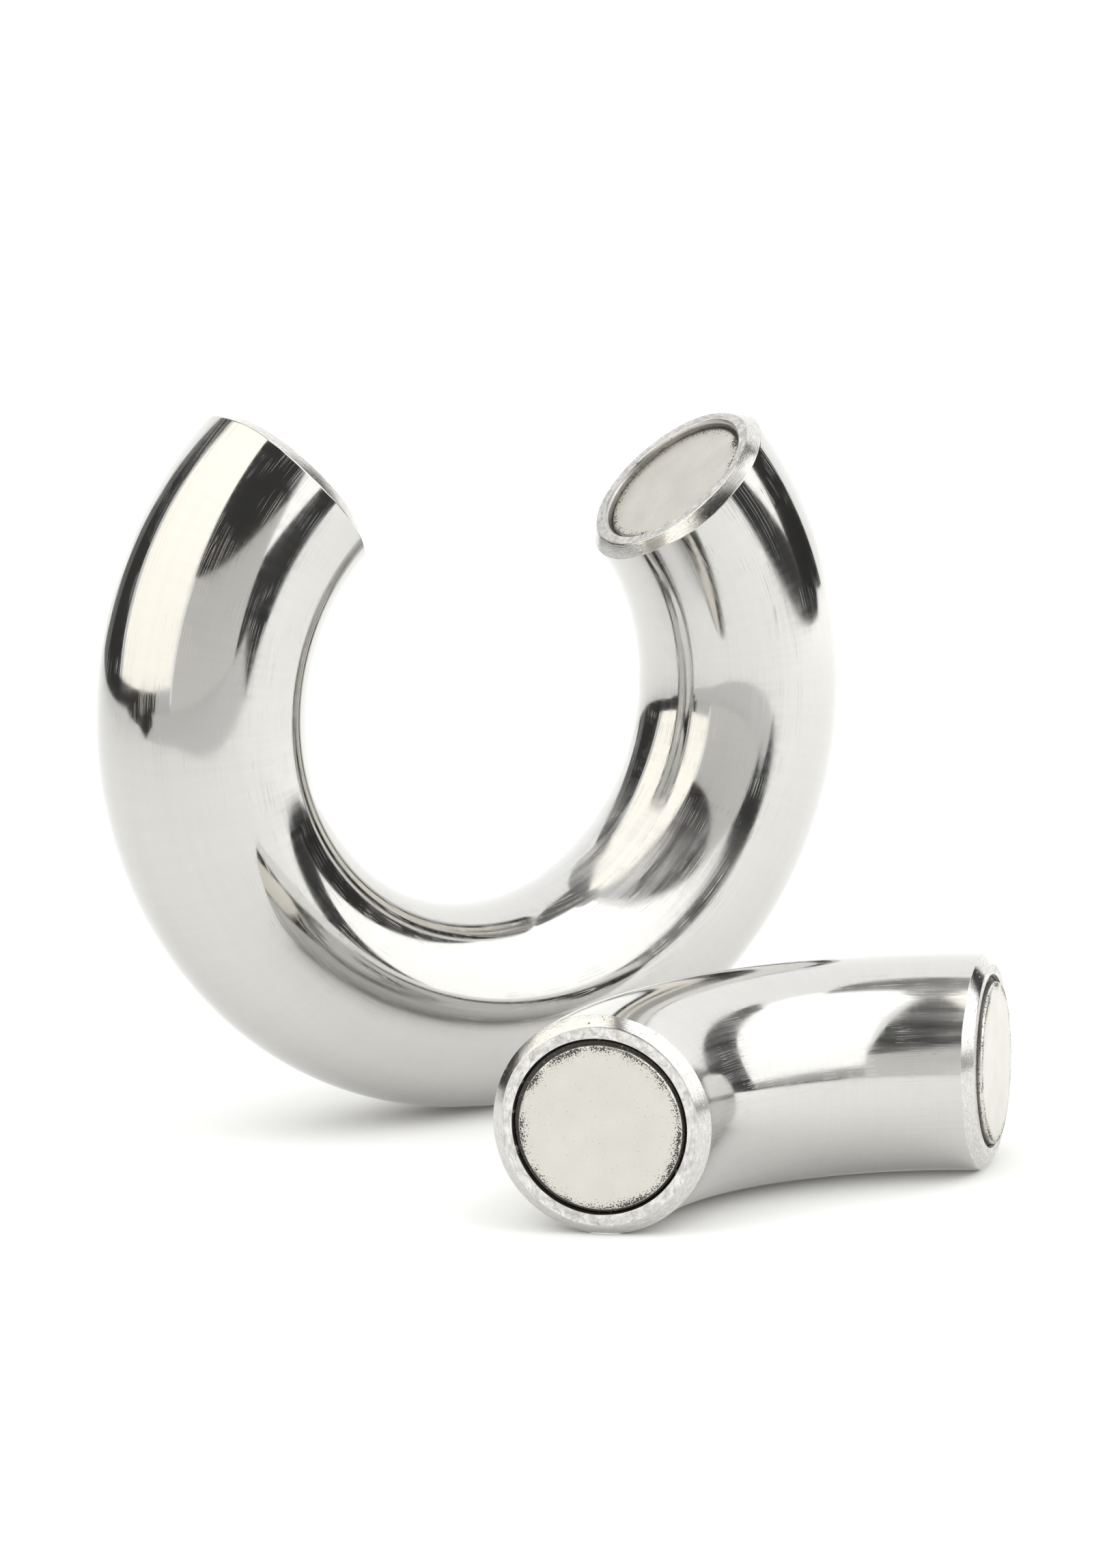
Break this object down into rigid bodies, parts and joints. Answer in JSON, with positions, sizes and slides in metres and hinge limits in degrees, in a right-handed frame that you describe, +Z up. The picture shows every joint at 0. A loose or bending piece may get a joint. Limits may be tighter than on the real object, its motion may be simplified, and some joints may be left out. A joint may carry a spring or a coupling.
{
  "type": "magnetic split ring puzzle",
  "caption": "Polished solid steel ring in two parts: an open arc standing on edge and a short closing arc lying in front, joined by disc magnets set in the ends.",
  "frame": {"origin": "middle of the footprint on the ground, with the large arc standing on its outer curve and the closing arc lying in front of it", "axes": "+Z up; +X to the right along the plane of the standing arc; +Y back, from the lying closing arc towards the standing arc, along the standing ring's axis"},
  "size_m": [0.08, 0.0696, 0.0699],
  "materials": {
    "polished_steel": "mirror-polished stainless steel with fine handling scratches, turned end faces and hand-brushed end bevels",
    "magnet_plating": "satin nickel plating, worn dark at the rim",
    "adhesive": "cured black epoxy, uneven"
  },
  "bodies": {
    "large": {"large_arc": "polished_steel", "large_left_magnet": "magnet_plating", "large_right_magnet": "magnet_plating", "large_left_adhesive": "adhesive", "large_right_adhesive": "adhesive"},
    "closing": {"closing_arc": "polished_steel", "closing_left_magnet": "magnet_plating", "closing_right_magnet": "magnet_plating", "closing_left_adhesive": "adhesive", "closing_right_adhesive": "adhesive"}
  },
  "joints": [
    {"name": "ring_closing", "type": "hinge", "parent": "large", "child": "closing", "pos_m": [0, -0.02747, 0.06227], "axis": [-0.9983, -0.041, 0.041], "range_deg": [0, 269.9]}
  ]
}
